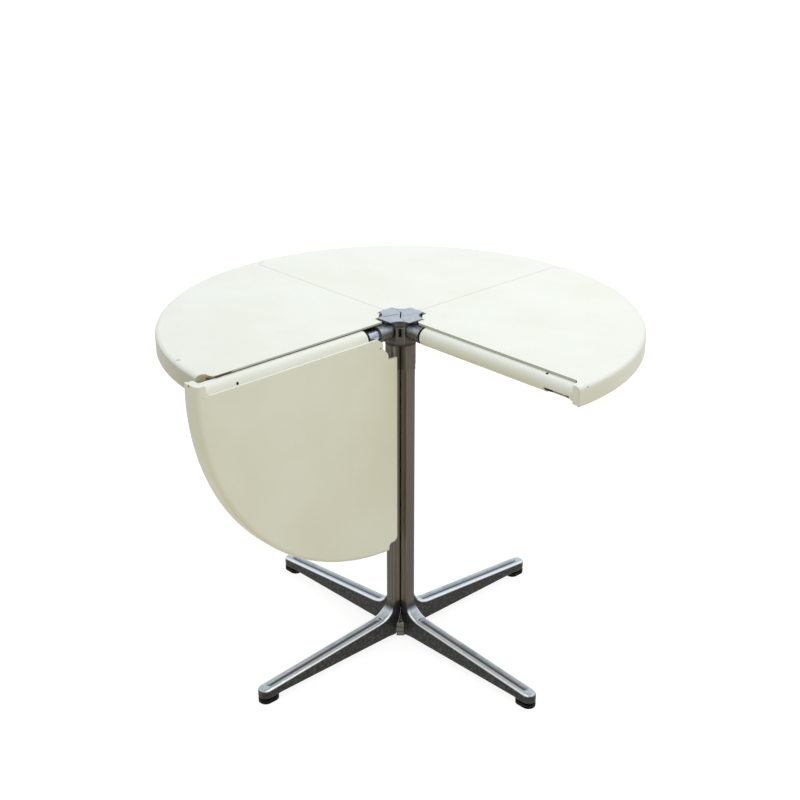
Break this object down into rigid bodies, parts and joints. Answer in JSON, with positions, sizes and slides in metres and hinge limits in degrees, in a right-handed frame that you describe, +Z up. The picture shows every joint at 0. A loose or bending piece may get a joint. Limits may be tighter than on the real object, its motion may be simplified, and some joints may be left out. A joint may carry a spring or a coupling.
{
  "type": "folding dining table",
  "caption": "Round folding dining table: quarter-round leaves slide and swing on tubes above a lobed metal column with splayed legs; one leaf hangs down.",
  "frame": {"origin": "on the floor, straight below the column's axis", "axes": "+Z up, +X to the right and +Y away from the viewer who faces the hanging leaf"},
  "size_m": [0.96, 0.8527, 0.7326],
  "materials": {
    "cream_plastic": "satin moulded",
    "black_plastic": "matt",
    "black_glide": "worn matt",
    "cast_aluminium": "polished, aged",
    "extruded_aluminium": "polished, dull with age",
    "grey_enamel": "fine matt grey",
    "chromed_tube": "bright",
    "zinc_steel": "zinc plated"
  },
  "bodies": {
    "frame": {"leg_casting_front_left": "cast_aluminium", "column_lobe_front_left": "extruded_aluminium", "hub_quarter_front_left": "grey_enamel", "cap_petal_front_left": "grey_enamel", "arm_tube_front_left": "chromed_tube", "tube_plug_front_left": "black_plastic", "glide_front_left": "black_glide", "leg_casting_front_right": "cast_aluminium", "column_lobe_front_right": "extruded_aluminium", "hub_quarter_front_right": "grey_enamel", "cap_petal_front_right": "grey_enamel", "arm_tube_front_right": "chromed_tube", "tube_plug_front_right": "black_plastic", "glide_front_right": "black_glide", "leg_casting_back_right": "cast_aluminium", "column_lobe_back_right": "extruded_aluminium", "hub_quarter_back_right": "grey_enamel", "cap_petal_back_right": "grey_enamel", "arm_tube_back_right": "chromed_tube", "tube_plug_back_right": "black_plastic", "glide_back_right": "black_glide", "leg_casting_back_left": "cast_aluminium", "column_lobe_back_left": "extruded_aluminium", "hub_quarter_back_left": "grey_enamel", "cap_petal_back_left": "grey_enamel", "arm_tube_back_left": "chromed_tube", "tube_plug_back_left": "black_plastic", "glide_back_left": "black_glide", "tube_set_screws": "zinc_steel", "hub_hinge_pins": "zinc_steel", "base_hinge_pins": "zinc_steel"},
    "leaf_left": {"leaf_panel_left": "cream_plastic", "inner_bush_left": "black_plastic", "outer_bush_left": "black_plastic", "bush_screw_left": "zinc_steel"},
    "leaf_back": {"leaf_panel_back": "cream_plastic", "inner_bush_back": "black_plastic", "outer_bush_back": "black_plastic", "bush_screw_back": "zinc_steel"},
    "leaf_right": {"leaf_panel_right": "cream_plastic", "inner_bush_right": "black_plastic", "outer_bush_right": "black_plastic", "bush_screw_right": "zinc_steel"},
    "front_bushes": {"inner_bush_front": "black_plastic", "outer_bush_front": "black_plastic"},
    "leaf_front": {"leaf_panel_front": "cream_plastic", "bush_screw_front": "zinc_steel"}
  },
  "joints": [
    {"name": "slide_left", "type": "slide", "parent": "frame", "child": "leaf_left", "axis": [-0.7071, 0.7071, 0], "range_m": [0, 0.038]},
    {"name": "slide_back", "type": "slide", "parent": "frame", "child": "leaf_back", "axis": [0.7071, 0.7071, 0], "range_m": [0, 0.038]},
    {"name": "slide_right", "type": "slide", "parent": "frame", "child": "leaf_right", "axis": [0.7071, -0.7071, 0], "range_m": [0, 0.038]},
    {"name": "slide_front", "type": "slide", "parent": "frame", "child": "front_bushes", "axis": [-0.7071, -0.7071, 0], "range_m": [-0.015, 0.008]},
    {"name": "swing_front", "type": "hinge", "parent": "front_bushes", "child": "leaf_front", "pos_m": [0, 0, 0.707], "axis": [-0.7071, -0.7071, 0], "range_deg": [0, 90]}
  ]
}
